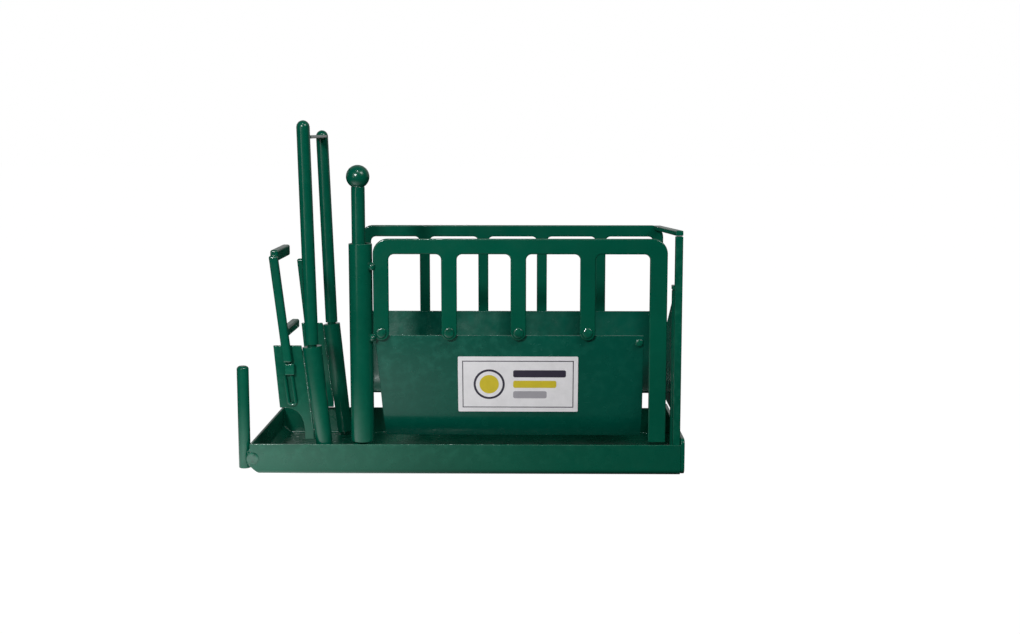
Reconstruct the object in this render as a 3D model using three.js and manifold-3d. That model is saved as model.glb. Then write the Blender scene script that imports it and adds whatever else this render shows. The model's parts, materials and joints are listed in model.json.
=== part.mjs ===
// Toy cattle squeeze chute: a welded sheet-steel tray that carries a headgate hoop with two swinging
// leaves, a side panel that turns about a ball-topped pin, a fixed far panel and a tail gate.
// Millimetres, +Z up, +X towards the tail, -Y is the side with the turning panel.
import * as THREE from "three";
import { mergeVertices } from "three/addons/utils/BufferGeometryUtils.js";
import Module from "manifold-3d";

const wasm = await Module();
wasm.setup();

// ---------------------------------------------------------------- driving dimensions
const TRAY = {
  left: -106, right: 110.25, near: -47.75, far: 48.25, height: 15.5, wall: 1.2,
  bend: 3, insideBend: 0.6, cutCorner: 4,
};
const END_PLATE = { thick: 2, bottom: 0.5, top: 18.5, corner: 3 };
const PEG = { x: -109.25, y: -43.6, radius: 3, bottom: 2.5, top: 54.5, chamfer: 1 };
const PEG_WELD = { x: -104.6, z: 8.2, radius: 3.4, proud: 0.5 };

// A headgate post: centre line x at its foot (z 16), at its shoulder and at its tip.
const SHOULDER_Z = 64.9;
const POSTS = {
  near: { y: -41.8, footX: -69.25, shoulderX: -74.5, tipX: -77, tipZ: 176.5, barrel: 4.8 },
  far: { y: 42.3, footX: -71.05, shoulderX: -76.3, tipX: -80, tipZ: 171.6, barrel: 4.6 },
};
const POST_RADIUS = 3.3;
const POST_PIN_RADIUS = 2.3;
const FOOT_Z = 16;
const BARREL = { bore: 2.65, footRadius: 4, bottom: 3, top: 64.6 };
const HOOP_STRAP = { width: 6.4, thick: 1.5, z: 169, gap: 0.15 };

const WING = {
  thick: 1.2, top: 64.7, bottom: 16.8, freeBottom: 33, freeTopX: -93.9, freeBottomX: -91.2,
  gap: 0.45, lipRun: 3, curveZ: 28, curveReach: 7, footReach: 9.5, footGap: 0.65,
};
const FAR_WING_SHORTER = 0.7;
const NECK_BAR = { width: 4.4, thick: 4, topX: -92.5, topZ: 110, endX: -86.3, endZ: 56.5 };
const FAR_NECK_BAR = { topX: -93.2, topZ: 100.5, endX: -88.9, endZ: 56.5 };
const NECK_HANDLE = { width: 4, height: 5.6, length: 36, z: 107 };
const NECK_STUB = { width: 4.2, height: 4.6, length: 34, z: 69.2 };
const LATCH_BLOCK = { left: -87.8, right: -83.1, bottom: 50.2, top: 55.8, thick: 3.2 };
const LATCH_LOOP = { x: -84.5, wide: 5.4, bottom: 34, top: 49.8, wire: 0.9, lean: 2 };

const SLEEVE = { x: -49.6, y: -41.6, radius: 5.875, bore: 4.95, bottom: 16.2, top: 115.9 };
const PIVOT = { x: -50.4, radius: 3.4, bottom: 1.7, ballRadius: 5.8, ballZ: 148.9 };
const SOCKET = { bore: 3.75, radius: 4.5, height: 4 };

const NEAR_FRAME = {
  left: -43.25, right: 102.75, top: 118.5, rail: 7.75, corner: 7.5, windowCorner: 2.75,
  outerY: -44.7, thick: 2,
  bars: [
    { x: -39.375, width: 7.75, foot: 67.6 },
    { x: -5.5, width: 7.75, foot: 67.6 },
    { x: 28.9, width: 7.75, foot: 67.6 },
    { x: 63.4, width: 7.75, foot: 67.6 },
    { x: 98.375, width: 8.75, foot: 16, square: true },
  ],
};
const FAR_FRAME = {
  left: -59.55, right: 108.8, top: 119.2, rail: 6.3, corner: 6.5, windowCorner: 2.75,
  outerY: 44.9, thick: 2,
  bars: [
    { x: -56.75, width: 5.6, foot: 1.5, square: true },
    { x: -24, width: 5.6, foot: 66.5 },
    { x: 8.65, width: 5.6, foot: 66.5 },
    { x: 41.35, width: 5.6, foot: 66.5 },
    { x: 74, width: 5.6, foot: 66.5 },
    { x: 106, width: 5.6, foot: 1.5, square: true },
  ],
};
const PLATE = { thick: 1.2, lean: 8, flangeLean: 30, gap: 0.15 };
const NEAR_PLATE = {
  topLeft: -42.75, bottomLeft: -38.75, right: 91.5, top: 70, fold: 29.8, bottom: 16.4,
};
const FAR_PLATE = {
  topLeft: -53.6, bottomLeft: -53.6, right: 102.8, top: 71.3, fold: 36, bottom: 26.5,
};
const RIVET = { radius: 2.75, height: 1.1, z: 71.6 };
const PLATE_RIVET = { x: 89.2, z: 66.5 };
const HINGE_WELD = { x: -43.9, radius: 2.2, heights: [69, 104.75] };
const LABEL = { left: -1.45, right: 58.9, bottom: 30.4, top: 59.2, thick: 0.3 };

const TAIL_POST = { left: 106.3, right: 110.05, near: -46.1, far: -42.4, top: 119.8 };
const TAIL_STRAP = { width: 3.8, height: 2.6, farX: 105.4, gap: 0.3 };
const TAIL_HINGE = { x: 107.4, y: -38.9, pin: 0.95, bore: 1.25, radius: 2, bottom: 3, top: 92.6 };
const TAIL_LUG = { bottom: 92.9, height: 2.2 };
const TAIL_PLATE = { thick: 1.4, far: 41, bottom: 30, nearTop: 91, farTop: 46 };

const PAINT = { color: 0x00503e, roughness: 0.3, metalness: 0.1 };
const PAINT_DULL = { color: 0x14584c, roughness: 0.42, metalness: 0.1 };
const VINYL = { color: 0xf4f4f2, roughness: 0.4, metalness: 0 };

// ---------------------------------------------------------------- shared helpers
const degrees = THREE.MathUtils.degToRad;

// Cutting solids run this far past the solid that they cut.
const PAST = 1;
const object = new THREE.Group();

function addNode(name, geometry, look = PAINT) {
  const mesh = new THREE.Mesh(geometry, new THREE.MeshStandardMaterial(look));
  mesh.name = name;
  object.add(mesh);
}

function toSolid(geometry) {
  const bare = geometry.index ? geometry.toNonIndexed() : geometry.clone();
  bare.deleteAttribute("normal");
  bare.deleteAttribute("uv");
  const merged = mergeVertices(bare, 1e-4);
  return new wasm.Manifold(new wasm.Mesh({
    numProp: 3,
    vertProperties: new Float32Array(merged.attributes.position.array),
    triVerts: new Uint32Array(merged.index.array),
  }));
}

function fromSolid(solid) {
  const mesh = solid.getMesh();
  const geometry = new THREE.BufferGeometry();
  geometry.setAttribute("position", new THREE.BufferAttribute(mesh.vertProperties, 3));
  geometry.setIndex(new THREE.BufferAttribute(mesh.triVerts, 1));
  return geometry;
}

// An outline drawn in x and z, thickened along +Y from y = front.
function plateAlongY(shape, front, thick, curveSegments = 6) {
  const geometry = new THREE.ExtrudeGeometry(shape, { depth: thick, bevelEnabled: false, curveSegments });
  return geometry.rotateX(Math.PI / 2).translate(0, front + thick, 0);
}

// An outline drawn in y and z, thickened along +X from x = left.
function plateAlongX(shape, left, thick, curveSegments = 6) {
  const geometry = new THREE.ExtrudeGeometry(shape, { depth: thick, bevelEnabled: false, curveSegments });
  return geometry.rotateX(Math.PI / 2).rotateZ(Math.PI / 2).translate(left, 0, 0);
}

function box(left, right, near, far, bottom, top) {
  const geometry = new THREE.BoxGeometry(right - left, far - near, top - bottom);
  return geometry.translate((left + right) / 2, (near + far) / 2, (bottom + top) / 2);
}

// A turned profile of [radius, height] pairs about the Z axis.
function turned(profile, segments = 20) {
  const points = profile.map(([radius, height]) => new THREE.Vector2(radius, height));
  return new THREE.LatheGeometry(points, segments).rotateX(Math.PI / 2);
}

// A closed ring profile: bottom to top outside, then back down the bore.
function tubeProfile(footRadius, topRadius, bore, bottom, top) {
  return [[bore, bottom], [footRadius, bottom], [topRadius, top], [bore, top], [bore, bottom]];
}

function polygon(points) {
  const shape = new THREE.Shape();
  points.forEach(([x, y], index) => (index ? shape.lineTo(x, y) : shape.moveTo(x, y)));
  shape.closePath();
  return shape;
}

function roundedRectangle(left, right, bottom, top, radii) {
  const [lowerLeft, lowerRight, upperRight, upperLeft] = radii;
  const shape = new THREE.Shape();
  shape.moveTo(left + lowerLeft, bottom);
  shape.lineTo(right - lowerRight, bottom);
  shape.absarc(right - lowerRight, bottom + lowerRight, lowerRight, -Math.PI / 2, 0, false);
  shape.lineTo(right, top - upperRight);
  shape.absarc(right - upperRight, top - upperRight, upperRight, 0, Math.PI / 2, false);
  shape.lineTo(left + upperLeft, top);
  shape.absarc(left + upperLeft, top - upperLeft, upperLeft, Math.PI / 2, Math.PI, false);
  shape.lineTo(left, bottom + lowerLeft);
  shape.absarc(left + lowerLeft, bottom + lowerLeft, lowerLeft, Math.PI, 1.5 * Math.PI, false);
  return shape;
}

// A low dome on a face at y, bulging towards the given side (-1 near, +1 far).
function dome(x, y, z, radius, height, side) {
  const arc = 4;
  const profile = [[0, 0]];
  for (let step = 0; step <= arc; step += 1) {
    const angle = (step / arc) * Math.PI / 2;
    const edge = step === arc ? 0 : radius * Math.cos(angle);
    profile.push([edge, height * Math.sin(angle)]);
  }
  const geometry = turned(profile, 14);
  return geometry.rotateX(side < 0 ? Math.PI / 2 : -Math.PI / 2).translate(x, y, z);
}

// ---------------------------------------------------------------- tray
function trayOutline(inset, top) {
  const left = TRAY.left + inset;
  const cut = TRAY.cutCorner - inset * 0.4;
  const rightPast = inset ? 5 : 0;
  return polygon([
    [left + cut, inset], [TRAY.right + rightPast, inset], [TRAY.right + rightPast, top],
    [left, top], [left, inset + cut],
  ]);
}

// The tray's section across its length: open corners at the top, bent corners at the bottom.
function trayEnds(inset, top) {
  const bend = inset ? TRAY.insideBend : TRAY.bend;
  const near = TRAY.near + inset;
  const far = TRAY.far - inset;
  const shape = new THREE.Shape();
  shape.moveTo(near, top);
  shape.lineTo(near, inset + bend);
  shape.absarc(near + bend, inset + bend, bend, Math.PI, 1.5 * Math.PI, false);
  shape.lineTo(far - bend, inset);
  shape.absarc(far - bend, inset + bend, bend, 1.5 * Math.PI, 2 * Math.PI, false);
  shape.lineTo(far, top);
  shape.closePath();
  return shape;
}

function trayBlock(inset, top) {
  const width = TRAY.far - TRAY.near;
  const length = TRAY.right - TRAY.left;
  const side = plateAlongY(trayOutline(inset, top), TRAY.near - PAST, width + 2 * PAST);
  const section = plateAlongX(trayEnds(inset, top + PAST), TRAY.left - PAST, length + 10 * PAST, 4);
  const lengthways = toSolid(side);
  const across = toSolid(section);
  return lengthways.intersect(across);
}

function buildTray() {
  const shell = trayBlock(0, TRAY.height).subtract(trayBlock(TRAY.wall, TRAY.height + 5));
  addNode("base_pan", fromSolid(shell));

  const { thick, bottom, top, corner } = END_PLATE;
  const outline = roundedRectangle(TRAY.near, TRAY.far, bottom, top, [corner, corner, corner, corner]);
  addNode("pan_end_plate", plateAlongX(outline, TRAY.right, thick));
}

function buildPeg() {
  const { x, y, radius, bottom, top, chamfer } = PEG;
  const profile = [
    [0, bottom], [radius, bottom], [radius, top - chamfer], [radius - chamfer, top], [0, top],
  ];
  addNode("connector_peg", turned(profile).translate(x, y, 0));
  addNode("peg_weld", dome(PEG_WELD.x, TRAY.near, PEG_WELD.z, PEG_WELD.radius, PEG_WELD.proud, -1));
}

// ---------------------------------------------------------------- headgate hoop
function axisX(post, z) {
  const slope = (post.shoulderX - post.footX) / (SHOULDER_Z - FOOT_Z);
  return post.footX + slope * (z - FOOT_Z);
}

// Stands a Z-axis solid on the leaning line of a post's lower part.
function leanWithPost(geometry, post) {
  const angle = Math.atan2(post.shoulderX - post.footX, SHOULDER_Z - FOOT_Z);
  return geometry.rotateY(angle).translate(axisX(post, 0), post.y, 0);
}

function buildPost(name, post) {
  const pin = [[0, 1.5], [POST_PIN_RADIUS, 1.5], [POST_PIN_RADIUS, SHOULDER_Z + 1], [0, SHOULDER_Z + 1]];
  const lower = toSolid(leanWithPost(turned(pin, 16), post));

  const rise = post.tipZ - SHOULDER_Z;
  const length = Math.hypot(rise, post.tipX - post.shoulderX);
  const profile = [[0, 0.3], [POST_RADIUS, 0.3]];
  const roundSteps = 4;
  for (let step = 0; step <= roundSteps; step += 1) {
    const angle = (step / roundSteps) * Math.PI / 2;
    const edge = step === roundSteps ? 0 : POST_RADIUS * Math.cos(angle);
    profile.push([edge, length - POST_RADIUS + POST_RADIUS * Math.sin(angle)]);
  }
  const upper = turned(profile, 18).rotateY(Math.atan2(post.tipX - post.shoulderX, rise));
  upper.translate(post.shoulderX, post.y, SHOULDER_Z);
  addNode(name, fromSolid(lower.add(toSolid(upper))));
}

function postXAt(post, z) {
  const share = (z - SHOULDER_Z) / (post.tipZ - SHOULDER_Z);
  return post.shoulderX + share * (post.tipX - post.shoulderX);
}

// A flat bar from post to post; its ends stop just short of the round posts.
function buildHoopStrap() {
  const { width, thick, z } = HOOP_STRAP;
  const nearX = postXAt(POSTS.near, z);
  const farX = postXAt(POSTS.far, z);
  const near = POSTS.near.y + POST_RADIUS + HOOP_STRAP.gap;
  const far = POSTS.far.y - POST_RADIUS - HOOP_STRAP.gap;
  const half = width / 2;
  const shape = polygon([
    [nearX - half, near], [nearX + half, near], [farX + half, far], [farX - half, far],
  ]);
  const strap = new THREE.ExtrudeGeometry(shape, { depth: thick, bevelEnabled: false });
  addNode("headgate_top_strap", strap.translate(0, 0, z - thick));
}

// ---------------------------------------------------------------- headgate leaves
function wingOutline(post, freeInset) {
  const hub = (z, reach) => axisX(post, z) - reach;
  const shape = new THREE.Shape();
  const freeTop = WING.freeTopX + freeInset;
  const freeBottom = WING.freeBottomX + freeInset;
  const { gap } = WING;
  shape.moveTo(hub(WING.top, post.barrel + gap), WING.top);
  shape.lineTo(freeTop, WING.top);
  shape.lineTo(freeBottom, WING.freeBottom);
  const { lipRun, curveZ, curveReach, footReach, footGap } = WING;
  shape.lineTo(freeBottom + lipRun, WING.freeBottom);
  shape.quadraticCurveTo(hub(curveZ, curveReach), WING.freeBottom - 0.5, hub(WING.bottom, footReach),
    WING.bottom);
  shape.lineTo(hub(WING.bottom, BARREL.footRadius + footGap), WING.bottom);
  shape.closePath();
  return shape;
}

// A square bar in the XZ plane whose centre line runs between two points.
function neckBar(bar, front) {
  const half = NECK_BAR.width / 2;
  const shape = polygon([
    [bar.endX - half, bar.endZ], [bar.endX + half, bar.endZ],
    [bar.topX + half, bar.topZ], [bar.topX - half, bar.topZ],
  ]);
  return plateAlongY(shape, front, NECK_BAR.thick);
}

function barXAt(bar, z) {
  const share = (z - bar.endZ) / (bar.topZ - bar.endZ);
  return bar.endX + share * (bar.topX - bar.endX);
}

function buildBarrel(name, post) {
  const profile = tubeProfile(BARREL.footRadius, post.barrel, BARREL.bore, BARREL.bottom, BARREL.top);
  addNode(name, leanWithPost(turned(profile, 20), post));
}

function buildLatchLoop(front) {
  const { x, wide, bottom, top, wire, lean } = LATCH_LOOP;
  const half = wide / 2 - wire;
  const corner = 1.6;
  const low = bottom + wire;
  const y = front - wire;
  const at = (dx, z) => new THREE.Vector3(x + dx - lean * (z - bottom) / (top - bottom), y, z);
  const path = new THREE.CurvePath();
  path.add(new THREE.LineCurve3(at(-half, top), at(-half, low + corner)));
  path.add(new THREE.QuadraticBezierCurve3(at(-half, low + corner), at(-half, low), at(corner - half, low)));
  path.add(new THREE.LineCurve3(at(corner - half, low), at(half - corner, low)));
  path.add(new THREE.QuadraticBezierCurve3(at(half - corner, low), at(half, low), at(half, low + corner)));
  path.add(new THREE.LineCurve3(at(half, low + corner), at(half, top)));
  const section = new THREE.Shape();
  section.absarc(0, 0, wire, 0, 2 * Math.PI, false);
  const options = { steps: 36, curveSegments: 4, bevelEnabled: false, extrudePath: path };
  addNode("latch_loop", new THREE.ExtrudeGeometry(section, options));
}

function buildLeaves() {
  const { near, far } = POSTS;
  buildBarrel("headgate_barrel_near", near);
  buildBarrel("headgate_barrel_far", far);
  const nearFront = near.y - WING.thick / 2;
  const farBack = far.y + WING.thick / 2;
  addNode("headgate_wing_near", plateAlongY(wingOutline(near, 0), nearFront, WING.thick));
  const farOutline = wingOutline(far, FAR_WING_SHORTER);
  addNode("headgate_wing_far", plateAlongY(farOutline, farBack - WING.thick, WING.thick));

  const nearBarFront = nearFront - 0.1 - NECK_BAR.thick;
  addNode("neck_bar_near", neckBar(NECK_BAR, nearBarFront));
  addNode("neck_bar_far", neckBar(FAR_NECK_BAR, farBack + 0.1));

  const stubStart = nearBarFront + NECK_BAR.thick + 0.1;
  const handleX = barXAt(NECK_BAR, NECK_HANDLE.z + NECK_HANDLE.height / 2);
  const handle = box(handleX - NECK_HANDLE.width / 2, handleX + NECK_HANDLE.width / 2,
    stubStart, stubStart + NECK_HANDLE.length, NECK_HANDLE.z, NECK_HANDLE.z + NECK_HANDLE.height);
  addNode("neck_bar_handle", handle);
  const stubX = barXAt(NECK_BAR, NECK_STUB.z + NECK_STUB.height / 2);
  const stub = box(stubX - NECK_STUB.width / 2, stubX + NECK_STUB.width / 2,
    stubStart, stubStart + NECK_STUB.length, NECK_STUB.z, NECK_STUB.z + NECK_STUB.height);
  addNode("neck_bar_stub", stub);

  const block = LATCH_BLOCK;
  addNode("latch_block", box(block.left, block.right, nearFront - 0.1 - block.thick, nearFront - 0.1,
    block.bottom, block.top));
  buildLatchLoop(nearFront - 0.1);
}

// ---------------------------------------------------------------- side panel pivot
function buildPivot() {
  const { x, radius, bottom, ballRadius, ballZ } = PIVOT;
  const { y } = SLEEVE;
  const rodTop = ballZ - ballRadius + 0.9;
  const rod = [[0, bottom], [radius, bottom], [radius, rodTop], [0, rodTop]];
  addNode("pivot_rod", turned(rod, 20).translate(x, y, 0));

  const sphere = new THREE.SphereGeometry(ballRadius, 20, 14).rotateX(Math.PI / 2).translate(0, 0, ballZ);
  const seatRadius = radius + 0.2;
  const seatTop = rodTop + 0.1;
  const seat = turned([[0, 0], [seatRadius, 0], [seatRadius, seatTop], [0, seatTop]], 20);
  addNode("ball_knob", fromSolid(toSolid(sphere).subtract(toSolid(seat))).translate(x, y, 0));

  const floor = TRAY.wall + 0.05;
  const socket = tubeProfile(SOCKET.radius, SOCKET.radius - 0.6, SOCKET.bore, floor, floor + SOCKET.height);
  addNode("pivot_socket", turned(socket, 20).translate(x, y, 0));

  const sleeve = tubeProfile(SLEEVE.radius, SLEEVE.radius, SLEEVE.bore, SLEEVE.bottom, SLEEVE.top);
  addNode("hinge_sleeve", turned(sleeve, 24).translate(SLEEVE.x, SLEEVE.y, 0));
}

// ---------------------------------------------------------------- side frames and plates
// A frame cut from one sheet: a top rail with uprights hanging from it like the teeth of a comb.
function combOutline(frame) {
  const { left, right, top, rail, corner, windowCorner, bars } = frame;
  const railBottom = top - rail;
  const shape = new THREE.Shape();
  const foot = (bar) => {
    const half = bar.width / 2;
    if (bar.square) {
      shape.lineTo(bar.x + half, bar.foot);
      shape.lineTo(bar.x - half, bar.foot);
      return;
    }
    shape.lineTo(bar.x + half, bar.foot + half);
    shape.absarc(bar.x, bar.foot + half, half, 0, -Math.PI, true);
  };
  shape.moveTo(left, (bars[0].foot + top) / 2);
  shape.lineTo(left, top - corner);
  shape.absarc(left + corner, top - corner, corner, Math.PI, Math.PI / 2, true);
  shape.lineTo(right - corner, top);
  shape.absarc(right - corner, top - corner, corner, Math.PI / 2, 0, true);
  for (let index = bars.length - 1; index > 0; index -= 1) {
    const bar = bars[index];
    const next = bars[index - 1];
    const windowRight = bar.x - bar.width / 2;
    const windowLeft = next.x + next.width / 2;
    const arcZ = railBottom - windowCorner;
    foot(bar);
    shape.lineTo(windowRight, arcZ);
    shape.absarc(windowRight - windowCorner, arcZ, windowCorner, 0, Math.PI / 2, false);
    shape.lineTo(windowLeft + windowCorner, railBottom);
    shape.absarc(windowLeft + windowCorner, arcZ, windowCorner, Math.PI / 2, Math.PI, false);
  }
  foot(bars[0]);
  shape.closePath();
  return shape;
}

// Height-by-depth profile of a folded plate: face leaning inwards, then a flange turned further in.
// side is +1 when inwards is +Y (near panel) and -1 when inwards is -Y (far panel).
function plateProfile(plate, faceY, side) {
  const faceRun = (plate.top - plate.fold) * Math.tan(degrees(PLATE.lean));
  const flangeRun = (plate.fold - plate.bottom) * Math.tan(degrees(PLATE.flangeLean));
  const foldY = faceY + side * faceRun;
  const lipY = foldY + side * flangeRun;
  const t = side * PLATE.thick;
  return { foldY, lipY, t };
}

function foldedPlate(plate, faceY, side) {
  const { foldY, lipY, t } = plateProfile(plate, faceY, side);
  const shape = polygon([
    [faceY, plate.top], [foldY, plate.fold], [lipY, plate.bottom],
    [lipY + t * 0.9, plate.bottom + PLATE.thick], [foldY + t, plate.fold + PLATE.thick * 0.45],
    [faceY + t, plate.top],
  ]);
  const left = Math.min(plate.topLeft, plate.bottomLeft);
  const slab = toSolid(plateAlongX(shape, left, plate.right - left));
  if (plate.topLeft === plate.bottomLeft) {
    return fromSolid(slab);
  }
  const trim = polygon([
    [left - 5, plate.top + 1], [plate.topLeft, plate.top + 1], [plate.bottomLeft, plate.bottom - 1],
    [left - 5, plate.bottom - 1],
  ]);
  return fromSolid(slab.subtract(toSolid(plateAlongY(trim, -60, 120))));
}

function nearFaceY(z) {
  const faceY = NEAR_FRAME.outerY + NEAR_FRAME.thick + PLATE.gap;
  return faceY + (NEAR_PLATE.top - z) * Math.tan(degrees(PLATE.lean));
}

function buildLabel() {
  const offset = 0.12;
  const lower = nearFaceY(LABEL.bottom) - offset;
  const upper = nearFaceY(LABEL.top) - offset;
  const shape = polygon([
    [lower, LABEL.bottom], [upper, LABEL.top], [upper - LABEL.thick, LABEL.top],
    [lower - LABEL.thick, LABEL.bottom],
  ]);
  addNode("side_label", plateAlongX(shape, LABEL.left, LABEL.right - LABEL.left), VINYL);
}

function buildNearPanel() {
  const { outerY, thick, bars } = NEAR_FRAME;
  addNode("near_side_frame", plateAlongY(combOutline(NEAR_FRAME), outerY, thick));
  addNode("near_side_plate", foldedPlate(NEAR_PLATE, outerY + thick + PLATE.gap, 1), PAINT_DULL);
  bars.filter((bar) => !bar.square).forEach((bar, index) => {
    const head = dome(bar.x, outerY - 0.05, RIVET.z, RIVET.radius, RIVET.height, -1);
    addNode(`near_side_rivet_${index + 1}`, head);
  });
  addNode("near_plate_rivet", dome(PLATE_RIVET.x, nearFaceY(PLATE_RIVET.z) - 0.4, PLATE_RIVET.z,
    RIVET.radius - 0.6, RIVET.height, -1));
  const clear = 0.1;
  const reach = SLEEVE.radius + clear;
  const above = NEAR_FRAME.top + SLEEVE.radius;
  const sleeve = turned([[0, 0], [reach, 0], [reach, above], [0, above]], 24);
  sleeve.translate(SLEEVE.x, SLEEVE.y, 0);
  const sheet = box(NEAR_FRAME.left - clear, 0, outerY - clear, outerY + 10 * thick, 0, above);
  HINGE_WELD.heights.forEach((z, index) => {
    const bead = new THREE.SphereGeometry(HINGE_WELD.radius, 12, 8).translate(HINGE_WELD.x, outerY, z);
    const weld = toSolid(bead).subtract(toSolid(sleeve)).subtract(toSolid(sheet));
    addNode(`hinge_weld_${index + 1}`, fromSolid(weld));
  });
  buildLabel();
}

function buildFarPanel() {
  const { outerY, thick, bars } = FAR_FRAME;
  addNode("far_side_frame", plateAlongY(combOutline(FAR_FRAME), outerY, thick));
  addNode("far_side_plate", foldedPlate(FAR_PLATE, outerY - PLATE.gap, -1), PAINT_DULL);
  bars.filter((bar) => !bar.square).forEach((bar, index) => {
    const head = dome(bar.x, outerY + thick + 0.05, RIVET.z + 0.4, RIVET.radius - 0.5, 1, 1);
    addNode(`far_side_rivet_${index + 1}`, head);
  });
}

// ---------------------------------------------------------------- tail end
function buildTailEnd() {
  const post = TAIL_POST;
  addNode("tail_post", box(post.left, post.right, post.near, post.far, TRAY.wall + 0.05, post.top));

  const half = TAIL_STRAP.width / 2;
  const nearX = (post.left + post.right) / 2;
  const end = FAR_FRAME.outerY - TAIL_STRAP.gap;
  const strap = polygon([
    [nearX - half, post.near], [nearX + half, post.near],
    [TAIL_STRAP.farX + half, end], [TAIL_STRAP.farX - half, end],
  ]);
  const bar = new THREE.ExtrudeGeometry(strap, { depth: TAIL_STRAP.height, bevelEnabled: false });
  const nearBottom = post.top + TAIL_STRAP.gap;
  const farBottom = FAR_FRAME.top - TAIL_STRAP.height;
  const tilt = Math.atan2(nearBottom - farBottom, end - post.near);
  bar.translate(0, -post.near, 0).rotateX(-tilt).translate(0, post.near, nearBottom);
  addNode("tail_top_strap", bar);

  const { x, y, pin, bore, radius, bottom, top } = TAIL_HINGE;
  const foot = TRAY.wall + 0.1;
  const tip = top + 0.2;
  const pinProfile = [[0, foot], [pin, foot], [pin, tip], [0, tip]];
  addNode("tail_hinge_pin", turned(pinProfile, 12).translate(x, y, 0));
  addNode("tail_hinge_lug", box(x - radius, x + radius, post.far + 0.1, y + radius,
    TAIL_LUG.bottom, TAIL_LUG.bottom + TAIL_LUG.height));
  const barrel = turned(tubeProfile(radius, radius, bore, bottom, top), 16);
  addNode("tail_gate_barrel", barrel.translate(x, y, 0));

  const plate = TAIL_PLATE;
  const gateNear = y + radius + 0.1;
  const outline = polygon([
    [gateNear, plate.bottom], [plate.far, plate.bottom],
    [plate.far, plate.farTop], [gateNear, plate.nearTop],
  ]);
  addNode("tail_gate_plate", plateAlongX(outline, x - plate.thick / 2, plate.thick), PAINT_DULL);
}

buildTray();
buildPeg();
buildPost("headgate_post_near", POSTS.near);
buildPost("headgate_post_far", POSTS.far);
buildHoopStrap();
buildLeaves();
buildPivot();
buildNearPanel();
buildFarPanel();
buildTailEnd();

export default object;
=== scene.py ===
"""Looks of a toy cattle squeeze chute: glossy green enamel on hand-welded sheet steel and rod.

Metres, +X towards the tail, -Y is the side with the turning panel and the label, +Z up.
"""
import json
import math
import random

import bmesh
import bpy
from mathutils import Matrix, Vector


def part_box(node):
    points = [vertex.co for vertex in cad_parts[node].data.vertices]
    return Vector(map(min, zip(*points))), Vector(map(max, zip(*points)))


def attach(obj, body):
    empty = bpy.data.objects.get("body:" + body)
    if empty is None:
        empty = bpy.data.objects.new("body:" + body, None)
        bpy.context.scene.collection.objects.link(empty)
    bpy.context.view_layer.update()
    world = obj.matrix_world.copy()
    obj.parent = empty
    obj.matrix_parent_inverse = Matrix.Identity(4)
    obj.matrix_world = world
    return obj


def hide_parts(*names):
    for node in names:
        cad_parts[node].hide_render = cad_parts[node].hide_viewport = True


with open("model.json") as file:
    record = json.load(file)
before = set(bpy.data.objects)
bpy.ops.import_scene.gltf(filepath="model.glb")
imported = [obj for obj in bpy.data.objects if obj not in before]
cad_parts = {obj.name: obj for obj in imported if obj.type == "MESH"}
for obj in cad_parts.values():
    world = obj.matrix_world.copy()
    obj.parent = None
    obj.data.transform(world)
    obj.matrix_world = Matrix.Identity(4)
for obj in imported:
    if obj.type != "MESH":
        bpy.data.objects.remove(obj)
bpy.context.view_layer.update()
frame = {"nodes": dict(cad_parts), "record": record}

MM = 0.001
MERGE_DISTANCE = 2e-6
FLAT_ANGLE = math.radians(1.0)
SHARP_ANGLE = math.radians(35)
ROUNDING_STEPS = 3
FIRST_WELD_SEED = 20
LABEL_THICKNESS = 0.3 * MM
NODES = frame["nodes"]
BODIES = frame["record"]["behaviour"]["bodies"]
SLOTS = {part["node"]: part["material_slot"] for part in frame["record"]["subparts"]}
BODY_OF = {node: body for body, nodes in BODIES.items() for node in nodes}


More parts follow.
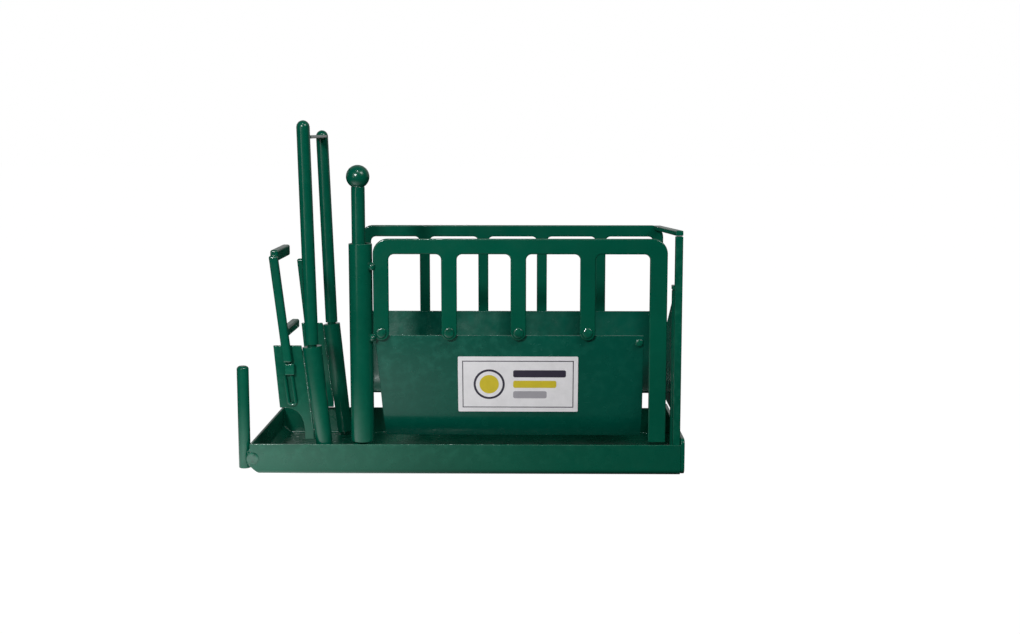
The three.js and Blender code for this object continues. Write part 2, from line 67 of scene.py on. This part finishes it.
# ------------------------------------------------------------------ node helpers
class Nodes:
    """A short way to add and join the nodes of one material."""

    def __init__(self, name):
        self.material = bpy.data.materials.new(name)
        self.material.use_nodes = True
        self.tree = self.material.node_tree
        self.shader = self.tree.nodes["Principled BSDF"]
        self.place = self.add("ShaderNodeTexCoord").outputs["Object"]

    def add(self, kind, **settings):
        node = self.tree.nodes.new(kind)
        for key, value in settings.items():
            setattr(node, key, value)
        return node

    def link(self, source, target):
        self.tree.links.new(source, target)

    def noise(self, scale, detail=2.0, roughness=0.5, stretch=(1, 1, 1), offset=(0, 0, 0)):
        mapping = self.add("ShaderNodeMapping")
        mapping.inputs["Scale"].default_value = stretch
        mapping.inputs["Location"].default_value = offset
        self.link(self.place, mapping.inputs["Vector"])
        noise = self.add("ShaderNodeTexNoise")
        noise.inputs["Scale"].default_value = scale
        noise.inputs["Detail"].default_value = detail
        noise.inputs["Roughness"].default_value = roughness
        self.link(mapping.outputs["Vector"], noise.inputs["Vector"])
        return noise.outputs["Fac"]

    def ramp(self, source, stops):
        ramp = self.add("ShaderNodeValToRGB")
        elements = ramp.color_ramp.elements
        while len(elements) < len(stops):
            elements.new(0.5)
        for element, (position, colour) in zip(elements, stops):
            element.position = position
            element.color = (*colour, 1) if len(colour) == 3 else colour
        self.link(source, ramp.inputs["Fac"])
        return ramp.outputs["Color"]

    def remap(self, source, low, high, to_low, to_high):
        remap = self.add("ShaderNodeMapRange")
        for name, value in zip(("From Min", "From Max", "To Min", "To Max"), (low, high, to_low, to_high)):
            remap.inputs[name].default_value = value
        self.link(source, remap.inputs["Value"])
        return remap.outputs["Result"]

    def math(self, operation, first, second):
        node = self.add("ShaderNodeMath", operation=operation)
        for socket, value in zip(node.inputs, (first, second)):
            if isinstance(value, (int, float)):
                socket.default_value = value
            else:
                self.link(value, socket)
        return node.outputs[0]

    def mix(self, factor, first, second, blend="MIX"):
        node = self.add("ShaderNodeMix", data_type="RGBA", blend_type=blend)
        for socket, value in ((node.inputs[0], factor), (node.inputs[6], first), (node.inputs[7], second)):
            if isinstance(value, (int, float)):
                socket.default_value = value
            elif isinstance(value, tuple):
                socket.default_value = (*value, 1)
            else:
                self.link(value, socket)
        return node.outputs[2]

    def bump(self, height, strength, distance, normal=None):
        bump = self.add("ShaderNodeBump")
        bump.inputs["Strength"].default_value = strength
        bump.inputs["Distance"].default_value = distance
        self.link(height, bump.inputs["Height"])
        if normal is not None:
            self.link(normal, bump.inputs["Normal"])
        return bump.outputs["Normal"]

    def edges(self, low, high):
        """1 on outside edges, 0 on flats."""
        pointiness = self.add("ShaderNodeNewGeometry").outputs["Pointiness"]
        return self.remap(pointiness, low, high, 0.0, 1.0)


# ------------------------------------------------------------------ materials
def enamel(name, base, roughness, waviness, seed):
    """Thick glossy enamel over steel: orange peel, faint runs, thin worn edges and fine scratches."""
    n = Nodes(name)
    shift = (seed * 1.7, seed * 0.9, seed * 2.3)
    dark = tuple(channel * 0.92 for channel in base)
    light = tuple(min(1.0, channel * 1.07) for channel in base)
    cloud = n.noise(28, detail=3, offset=shift)
    colour = n.ramp(cloud, [(0.32, dark), (0.5, base), (0.68, light)])
    fleck = n.ramp(n.noise(2400, detail=1, offset=shift), [(0.30, (0.93, 0.93, 0.93)), (0.44, (1, 1, 1))])
    colour = n.mix(0.5, colour, fleck, "MULTIPLY")

    scratch_field = n.noise(90, detail=4, roughness=0.7, stretch=(1, 1, 14), offset=shift)
    scratches = n.remap(scratch_field, 0.66, 0.69, 0.0, 0.35)
    patches = n.noise(260, detail=3, offset=shift)
    wear = n.math("MULTIPLY", n.edges(0.53, 0.62), n.remap(patches, 0.45, 0.7, 0, 0.55))
    worn = tuple(channel * 1.5 + 0.012 for channel in base)
    colour = n.mix(wear, colour, worn)
    n.link(colour, n.shader.inputs["Base Color"])

    rough = n.remap(n.noise(120, detail=3, offset=shift), 0.3, 0.7, roughness * 0.8, roughness * 1.25)
    rough = n.math("ADD", rough, n.math("MULTIPLY", scratches, 0.25))
    n.link(rough, n.shader.inputs["Roughness"])

    peel = n.bump(n.noise(520, detail=2, offset=shift), 0.16, 0.0002)
    waves = n.bump(n.noise(70, detail=1, offset=shift), waviness, 0.0006, peel)
    n.link(waves, n.shader.inputs["Normal"])
    n.shader.inputs["IOR"].default_value = 1.42
    n.shader.inputs["Coat Weight"].default_value = 0.25
    n.shader.inputs["Coat Roughness"].default_value = 0.09
    n.shader.inputs["Coat IOR"].default_value = 1.45
    return n.material


def weld_enamel(name, base, seed):
    """The same enamel where it lies thick over a weld: glossier, with a coarse ripple."""
    n = Nodes(name)
    shift = (seed * 1.1, seed * 2.1, seed * 0.6)
    dark = tuple(channel * 0.7 for channel in base)
    light = tuple(min(1.0, channel * 1.2 + 0.002) for channel in base)
    colour = n.ramp(n.noise(420, detail=3, offset=shift), [(0.35, dark), (0.5, base), (0.68, light)])
    n.link(colour, n.shader.inputs["Base Color"])
    n.link(n.remap(n.noise(700, detail=2), 0.3, 0.7, 0.14, 0.26), n.shader.inputs["Roughness"])
    n.link(n.bump(n.noise(900, detail=3, offset=shift), 0.45, 0.0002), n.shader.inputs["Normal"])
    n.shader.inputs["Coat Weight"].default_value = 0.5
    n.shader.inputs["Coat Roughness"].default_value = 0.06
    return n.material


def printed_vinyl(name, base, roughness=0.34):
    """Printed sticker film: a faint ink grain and the soft unevenness of film over paint."""
    n = Nodes(name)
    dark = tuple(channel * 0.93 for channel in base)
    colour = n.ramp(n.noise(180, detail=4, roughness=0.7), [(0.35, dark), (0.6, base)])
    n.link(colour, n.shader.inputs["Base Color"])
    rough = n.remap(n.noise(900, detail=1), 0.3, 0.7, roughness * 0.85, roughness * 1.2)
    n.link(rough, n.shader.inputs["Roughness"])
    n.link(n.bump(n.noise(240, detail=2), 0.12, 0.0002), n.shader.inputs["Normal"])
    return n.material


GREEN = (0.0, 0.078, 0.045)
PLATE_GREEN = (0.0, 0.080, 0.052)

PAINTS = {
    "enamel": enamel("green_enamel", GREEN, 0.20, 0.08, 1),
    "plate_enamel": enamel("green_plate_enamel", PLATE_GREEN, 0.24, 0.08, 2),
    "label_vinyl": printed_vinyl("label_white", (0.80, 0.79, 0.81)),
}
TRAY_PAINT = enamel("green_tray_enamel", GREEN, 0.28, 0.12, 3)
WELD_PAINT = weld_enamel("green_weld_enamel", GREEN, 4)
INK_DARK = printed_vinyl("label_ink_dark", (0.035, 0.03, 0.05))
INK_YELLOW = printed_vinyl("label_ink_yellow", (0.62, 0.50, 0.03))
INK_GREY = printed_vinyl("label_ink_grey", (0.36, 0.35, 0.38))


# ------------------------------------------------------------------ mesh helpers
def make_object(name, bm, material, body, slot, *nodes):
    """Turns a bmesh into a shown piece that rides on a body and stands for CAD nodes."""
    mesh = bpy.data.meshes.new(name)
    bmesh.ops.recalc_face_normals(bm, faces=bm.faces)
    bm.to_mesh(mesh)
    bm.free()
    for face in mesh.polygons:
        face.use_smooth = True
    piece = bpy.data.objects.new(name, mesh)
    bpy.context.scene.collection.objects.link(piece)
    mesh.materials.append(material)
    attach(piece, body)
    if nodes:
        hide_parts(*nodes)
    return piece


def keep_flats_flat(piece):
    """Weighted normals: flats stay flat and the rounded edges catch the light."""
    modifier = piece.modifiers.new("flat_faces", "WEIGHTED_NORMAL")
    modifier.weight = 100
    modifier.keep_sharp = False


def refined(node, edge, material=None):
    """The CAD node's own shape with its sharp edges rounded, as sheet and bar stock under paint has."""
    bm = bmesh.new()
    bm.from_mesh(NODES[node].data)
    bmesh.ops.remove_doubles(bm, verts=bm.verts, dist=MERGE_DISTANCE)
    bmesh.ops.dissolve_limit(bm, angle_limit=FLAT_ANGLE, verts=bm.verts, edges=bm.edges)
    sharp = [e for e in bm.edges if len(e.link_faces) == 2 and e.calc_face_angle(0) > SHARP_ANGLE]
    bmesh.ops.bevel(bm, geom=sharp, offset=edge * MM, segments=ROUNDING_STEPS, profile=0.5,
                    affect="EDGES", clamp_overlap=True)
    slot = SLOTS[node]
    piece = make_object(node + "_shown", bm, material or PAINTS[slot], BODY_OF[node], slot, node)
    keep_flats_flat(piece)


def turned(profile, segments=64):
    """A bmesh turned about Z from [radius, height] pairs; ends on the axis or closes on itself."""
    bm = bmesh.new()
    verts = [bm.verts.new((radius, 0, height)) for radius, height in profile]
    for first, second in zip(verts, verts[1:]):
        bm.edges.new((first, second))
    bmesh.ops.spin(bm, geom=bm.verts[:] + bm.edges[:], cent=(0, 0, 0), axis=(0, 0, 1),
                   angle=2 * math.pi, steps=segments, use_merge=True, use_duplicate=False)
    bmesh.ops.remove_doubles(bm, verts=bm.verts, dist=1e-7)
    return bm


def weld_blob(node, seed):
    """A lumpy weld spot that fills the box of its CAD node."""
    low, high = (Vector(corner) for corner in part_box(node))
    centre = (low + high) / 2
    half = (high - low) / 2
    noise = random.Random(seed)
    waves = [(Vector([noise.uniform(-1, 1) for _ in range(3)]).normalized() * noise.uniform(2.5, 6.0),
              noise.uniform(0, 6.3)) for _ in range(6)]
    bm = bmesh.new()
    bmesh.ops.create_icosphere(bm, subdivisions=4, radius=1.0)
    for vert in bm.verts:
        direction = vert.co.copy()
        lump = sum(math.sin(wave.dot(direction) + phase) for wave, phase in waves) / len(waves)
        scale = 1.0 + 0.10 * lump - 0.08
        vert.co = Vector((direction.x * half.x, direction.y * half.y, direction.z * half.z)) * scale + centre
    return make_object(node + "_shown", bm, WELD_PAINT, BODY_OF[node], SLOTS[node], node)


def weld_bead(name, start, end, radius, body, seed, ripple=0.16):
    """A short run of weld: a round bead with the ripples that each dab of metal leaves."""
    start, end = Vector(start), Vector(end)
    axis = end - start
    length = axis.length
    turn = Vector((0, 0, 1)).rotation_difference(axis)
    noise = random.Random(seed)
    rings = max(10, int(length / (0.16 * MM)))
    sides = 14
    circle = [2 * math.pi * side / sides for side in range(sides)]
    dabs = max(2, round(length / (radius * 1.1)))
    phase = noise.uniform(0, 6.3)
    bm = bmesh.new()
    rows = []
    for ring in range(rings + 1):
        share = ring / rings
        taper = math.sqrt(max(0.0, 1 - abs(2 * share - 1) ** 5))
        size = radius * taper * (1 + ripple * math.sin(2 * math.pi * dabs * share + phase))
        points = [Vector((size * math.cos(a), size * math.sin(a), length * share)) for a in circle]
        rows.append([bm.verts.new(turn @ point + start) for point in points])
    for lower, upper in zip(rows, rows[1:]):
        for side in range(sides):
            after = (side + 1) % sides
            bm.faces.new((lower[side], lower[after], upper[after], upper[side]))
    bmesh.ops.remove_doubles(bm, verts=bm.verts, dist=1e-7)
    return make_object(name, bm, WELD_PAINT, body, "enamel")


# ------------------------------------------------------------------ sheet, bar and rod pieces
SHEET_EDGES = {
    "pan_end_plate": 0.5, "headgate_top_strap": 0.3, "headgate_wing_near": 0.35, "headgate_wing_far": 0.35,
    "neck_bar_near": 1.1, "neck_bar_far": 1.1, "neck_bar_handle": 1.0, "neck_bar_stub": 1.0,
    "latch_block": 0.5, "near_side_frame": 0.75, "far_side_frame": 0.75, "near_side_plate": 0.3,
    "far_side_plate": 0.3, "tail_post": 0.5, "tail_top_strap": 0.5, "tail_hinge_lug": 0.3,
    "tail_gate_plate": 0.3, "connector_peg": 0.4, "headgate_post_near": 0.1, "headgate_post_far": 0.1,
    "headgate_barrel_near": 0.12, "headgate_barrel_far": 0.12, "hinge_sleeve": 0.35, "pivot_socket": 0.05,
    "tail_hinge_pin": 0.2, "tail_gate_barrel": 0.25, "latch_loop": 0.15, "pivot_rod": 0.4,
}


def build_metalwork():
    for node, edge in SHEET_EDGES.items():
        refined(node, edge)
    refined("base_pan", 0.35, TRAY_PAINT)


def build_ball():
    """Ball knob: a full sphere whose neck flows into the rod below it."""
    low, high = (Vector(corner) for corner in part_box("ball_knob"))
    rod_low, rod_high = (Vector(corner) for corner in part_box("pivot_rod"))
    radius = (high.x - low.x) / 2
    centre_z = high.z - radius
    rod_radius = (rod_high.x - rod_low.x) / 2
    neck_angle = -math.acos((rod_radius * 0.97) / radius)
    profile = [(rod_radius * 0.97, centre_z + radius * math.sin(neck_angle) - 0.15 * MM)]
    steps = 40
    for step in range(steps + 1):
        angle = neck_angle + (math.pi / 2 - neck_angle) * step / steps
        profile.append((max(0.0, radius * math.cos(angle)), centre_z + radius * math.sin(angle)))
    bm = turned(profile, 72)
    bmesh.ops.translate(bm, verts=bm.verts, vec=((low.x + high.x) / 2, (low.y + high.y) / 2, 0))
    bmesh.ops.holes_fill(bm, edges=bm.edges)
    make_object("ball_knob_shown", bm, PAINTS["enamel"], BODY_OF["ball_knob"], "enamel", "ball_knob")


def build_welds():
    for index, node in enumerate(sorted(n for n in NODES if "rivet" in n or "weld" in n)):
        weld_blob(node, FIRST_WELD_SEED + index)


def corners(node):
    low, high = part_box(node)
    return Vector(low), Vector(high)


def build_beads():
    """Runs of weld along the joints that hold the parts of one body together."""
    for side, seed in (("near", 61), ("far", 62)):
        wing_low, wing_high = corners("headgate_wing_" + side)
        barrel_low, barrel_high = corners("headgate_barrel_" + side)
        y = (wing_low.y + wing_high.y) / 2
        foot = Vector((wing_high.x - 0.25 * MM, y, wing_low.z + 0.8 * MM))
        lean = (barrel_high.x - barrel_low.x) - (barrel_high.y - barrel_low.y)
        drift = lean * (wing_high.z - wing_low.z) / (barrel_high.z - barrel_low.z)
        top = Vector((foot.x - drift - 0.5 * MM, y, wing_high.z - 0.8 * MM))
        weld_bead(f"wing_bead_{side}", foot, top, 0.75 * MM, side + "_leaf", seed)

    peg_low, peg_high = corners("connector_peg")
    joint_x = peg_high.x + 0.1 * MM
    middle_y = (peg_low.y + peg_high.y) / 2
    weld_bead("peg_bead_upright", (joint_x, middle_y - 2.4 * MM, 3.6 * MM),
              (joint_x, middle_y - 2.2 * MM, 12.5 * MM), 1.5 * MM, "root", 71)
    weld_bead("peg_bead_low", (joint_x - 1.2 * MM, middle_y - 3.0 * MM, 5.2 * MM),
              (joint_x + 3.4 * MM, middle_y - 3.3 * MM, 8.8 * MM), 1.15 * MM, "root", 72)
    weld_bead("peg_bead_high", (joint_x - 0.8 * MM, middle_y - 2.6 * MM, 9.6 * MM),
              (joint_x + 2.6 * MM, middle_y - 3.3 * MM, 7.6 * MM), 1.1 * MM, "root", 73)

    low, high = corners("latch_block")
    weld_bead("latch_bead", (low.x + 0.6 * MM, high.y - 0.5 * MM, low.z),
              (high.x - 0.6 * MM, high.y - 0.5 * MM, low.z), 0.5 * MM, "near_leaf", 63)
    _, tray_high = corners("base_pan")
    post_low, _ = corners("tail_post")
    z = tray_high.z - 0.1 * MM
    y = post_low.y + 0.2 * MM
    x = post_low.x - 0.2 * MM
    weld_bead("tail_post_bead", (x, y, z - 5 * MM), (x, y, z), 0.6 * MM, "root", 64)
    strap_low, strap_high = corners("tail_top_strap")
    y, z = strap_high.y - 0.4 * MM, strap_high.z - 5.2 * MM
    weld_bead("tail_strap_bead", (strap_low.x + 0.5 * MM, y, z), (strap_low.x + 3.0 * MM, y, z),
              0.6 * MM, "root", 65)
    hoop_low, hoop_high = corners("headgate_top_strap")
    for name, y, seed in (("near", hoop_low.y, 66), ("far", hoop_high.y, 67)):
        x = hoop_high.x - 3.2 * MM if name == "near" else hoop_low.x + 3.2 * MM
        z = hoop_low.z
        weld_bead("hoop_bead_" + name, (x - 2.4 * MM, y, z), (x + 2.4 * MM, y, z), 0.7 * MM, "root", seed)


# ------------------------------------------------------------------ label
def build_label():
    """White sticker with a generic print: a ring, a disc and three stripes inside a thin border."""
    low, high = (Vector(corner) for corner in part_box("side_label"))
    width = high.x - low.x
    foot = Vector((low.x, high.y - LABEL_THICKNESS, low.z))
    rise = Vector((0, low.y - (high.y - LABEL_THICKNESS), high.z - low.z))
    height = rise.length
    up = rise.normalized()
    out = Vector((1, 0, 0)).cross(up).normalized()

    def place(x, z, lift):
        return foot + Vector((x, 0, 0)) + up * z + out * lift

    def plate(name, outline, thick, lift, material):
        bm = bmesh.new()
        front = [bm.verts.new(place(x, z, lift + thick)) for x, z in outline]
        back = [bm.verts.new(place(x, z, lift)) for x, z in outline]
        bm.faces.new(front)
        bm.faces.new(list(reversed(back)))
        count = len(outline)
        for index in range(count):
            after = (index + 1) % count
            bm.faces.new((front[index], back[index], back[after], front[after]))
        replaced = ("side_label",) if name == "side_label_shown" else ()
        piece = make_object(name, bm, material, "side_gate", "label_vinyl", *replaced)
        for face in piece.data.polygons:
            face.use_smooth = False
        return piece

    def rounded(x0, x1, z0, z1, radius, steps=6):
        corners = [(x1 - radius, z0 + radius, -90), (x1 - radius, z1 - radius, 0),
                   (x0 + radius, z1 - radius, 90), (x0 + radius, z0 + radius, 180)]
        return [(cx + radius * math.cos(math.radians(start + 90 * step / steps)),
                 cz + radius * math.sin(math.radians(start + 90 * step / steps)))
                for cx, cz, start in corners for step in range(steps + 1)]

    def disc(cx, cz, radius, steps=48):
        return [(cx + radius * math.cos(2 * math.pi * step / steps),
                 cz + radius * math.sin(2 * math.pi * step / steps)) for step in range(steps)]

    film = 0.14 * MM
    ink = 0.02 * MM
    plate("side_label_shown", rounded(0, width, 0, height, 0.6 * MM), film, 0, PAINTS["label_vinyl"])

    inset = 2.2 * MM
    line = 0.45 * MM
    for name, box in {
        "low": (inset, width - inset, inset, inset + line),
        "high": (inset, width - inset, height - inset - line, height - inset),
        "left": (inset, inset + line, inset + line, height - inset - line),
        "right": (width - inset - line, width - inset, inset + line, height - inset - line),
    }.items():
        x0, x1, z0, z1 = box
        plate("label_border_" + name, [(x0, z0), (x1, z0), (x1, z1), (x0, z1)], ink, film, INK_DARK)

    centre = (width * 0.26, height * 0.5)
    radius = height * 0.27
    plate("label_ring", disc(*centre, radius), ink, film, INK_DARK)
    plate("label_ring_gap", disc(*centre, radius * 0.86), ink, film + ink, PAINTS["label_vinyl"])
    plate("label_disc", disc(*centre, radius * 0.62), ink, film + 2 * ink, INK_YELLOW)

    left = width * 0.46
    stripe = height * 0.13
    for index, (share, material) in enumerate(((0.44, INK_DARK), (0.36, INK_YELLOW), (0.28, INK_GREY))):
        middle = height * (0.69 - 0.19 * index)
        plate(f"label_stripe_{index + 1}",
              rounded(left, left + width * share, middle - stripe / 2, middle + stripe / 2, stripe * 0.25),
              ink, film, material)


# ------------------------------------------------------------------ stage
def build_floor():
    """Pale plain floor, white to the camera. For reflections and bounce it glows as a painted pool of light
    near the object, which falls off away from it.
    """
    bm = bmesh.new()
    bmesh.ops.create_grid(bm, x_segments=1, y_segments=1, size=6.0)
    mesh = bpy.data.meshes.new("floor")
    bm.to_mesh(mesh)
    bm.free()
    floor = bpy.data.objects.new("floor", mesh)
    bpy.context.scene.collection.objects.link(floor)
    floor.location.z = -0.0002
    n = Nodes("floor_white")
    n.shader.inputs["Base Color"].default_value = (0.02, 0.02, 0.02, 1)
    n.shader.inputs["Roughness"].default_value = 0.9
    n.shader.inputs["Specular IOR Level"].default_value = 0.0
    n.shader.inputs["Emission Color"].default_value = (1, 1, 1, 1)
    # painted pool of light: an emission spot around the object that only reflections and bounce light see
    distance = n.add("ShaderNodeVectorMath", operation="DISTANCE")
    distance.inputs[1].default_value = (-0.12, -0.09, 0)
    n.link(n.place, distance.inputs[0])
    painted_light_pool = n.math("POWER", n.remap(distance.outputs["Value"], 0.0, 0.25, 1.0, 0.0), 3.0)
    painted_light_pool = n.math("ADD", n.math("MULTIPLY", painted_light_pool, 2.2), 0.01)
    camera_ray = n.add("ShaderNodeLightPath").outputs["Is Camera Ray"]
    n.link(n.math("MAXIMUM", painted_light_pool, camera_ray), n.shader.inputs["Emission Strength"])
    mesh.materials.append(n.material)


def build_world():
    """White to the eye; what the paint reflects is a dim room with a bright wall behind the object."""
    world = bpy.data.worlds.new("studio")
    bpy.context.scene.world = world
    world.use_nodes = True
    tree = world.node_tree
    tree.nodes.clear()
    output = tree.nodes.new("ShaderNodeOutputWorld")
    mix = tree.nodes.new("ShaderNodeMixShader")
    path = tree.nodes.new("ShaderNodeLightPath")
    seen = tree.nodes.new("ShaderNodeBackground")
    seen.inputs["Color"].default_value = (1, 1, 1, 1)
    room = tree.nodes.new("ShaderNodeBackground")
    place = tree.nodes.new("ShaderNodeTexCoord")
    split = tree.nodes.new("ShaderNodeSeparateXYZ")
    ramp = tree.nodes.new("ShaderNodeMapRange")
    ramp.interpolation_type = "SMOOTHSTEP"
    for name, value in (("From Min", -0.1), ("From Max", 0.7), ("To Min", 0.008), ("To Max", 0.4)):
        ramp.inputs[name].default_value = value
    links = tree.links
    links.new(place.outputs["Generated"], split.inputs[0])
    links.new(split.outputs["Y"], ramp.inputs["Value"])
    links.new(ramp.outputs["Result"], room.inputs["Strength"])
    links.new(path.outputs["Is Camera Ray"], mix.inputs[0])
    links.new(room.outputs[0], mix.inputs[1])
    links.new(seen.outputs[0], mix.inputs[2])
    links.new(mix.outputs[0], output.inputs["Surface"])


def softbox(name, azimuth, elevation, distance, width, height, radiance, target=(0, 0, 0.07)):
    """An area light aimed at the object. Azimuth 0 is the camera's side, positive to its right."""
    light = bpy.data.lights.new(name, "AREA")
    light.shape = "RECTANGLE"
    light.size = width
    light.size_y = height
    light.energy = radiance * math.pi * width * height
    lamp = bpy.data.objects.new(name, light)
    bpy.context.scene.collection.objects.link(lamp)
    a, e = math.radians(azimuth), math.radians(elevation)
    away = Vector((math.sin(a) * math.cos(e), -math.cos(a) * math.cos(e), math.sin(e)))
    lamp.location = Vector(target) + away * distance
    lamp.rotation_mode = "QUATERNION"
    lamp.rotation_quaternion = away.to_track_quat("Z", "Y")


def build_lights():
    softbox("lamp_near_camera", -19, 23, 0.9, 0.09, 0.09, 172)
    softbox("softbox_right", 47, 40, 1.1, 0.40, 0.40, 8)
    softbox("card_left", -36, 12, 1.0, 0.22, 0.80, 1.6)
    softbox("softbox_front_top", 0, 52, 1.0, 0.30, 0.22, 3)
    softbox("lamp_overhead", -8, 62, 0.9, 0.04, 0.04, 170)


def build_camera():
    """Stands about as high as the hoop, looking slightly down and left of straight ahead."""
    camera = bpy.data.cameras.new("camera")
    camera.sensor_width = 36
    camera.lens = 49.906
    eye = bpy.data.objects.new("camera", camera)
    bpy.context.scene.collection.objects.link(eye)
    eye.location = (0.03424, -0.74097, 0.17170)
    yaw = math.radians(0.7775)
    pitch = math.radians(7.533)
    eye.rotation_euler = (math.pi / 2 - pitch, 0, yaw)
    camera.clip_start = 0.01
    bpy.context.scene.camera = eye
    bpy.context.scene.view_settings.view_transform = "Standard"


build_metalwork()
build_ball()
build_welds()
build_beads()
build_label()
build_floor()
build_world()
build_lights()
build_camera()
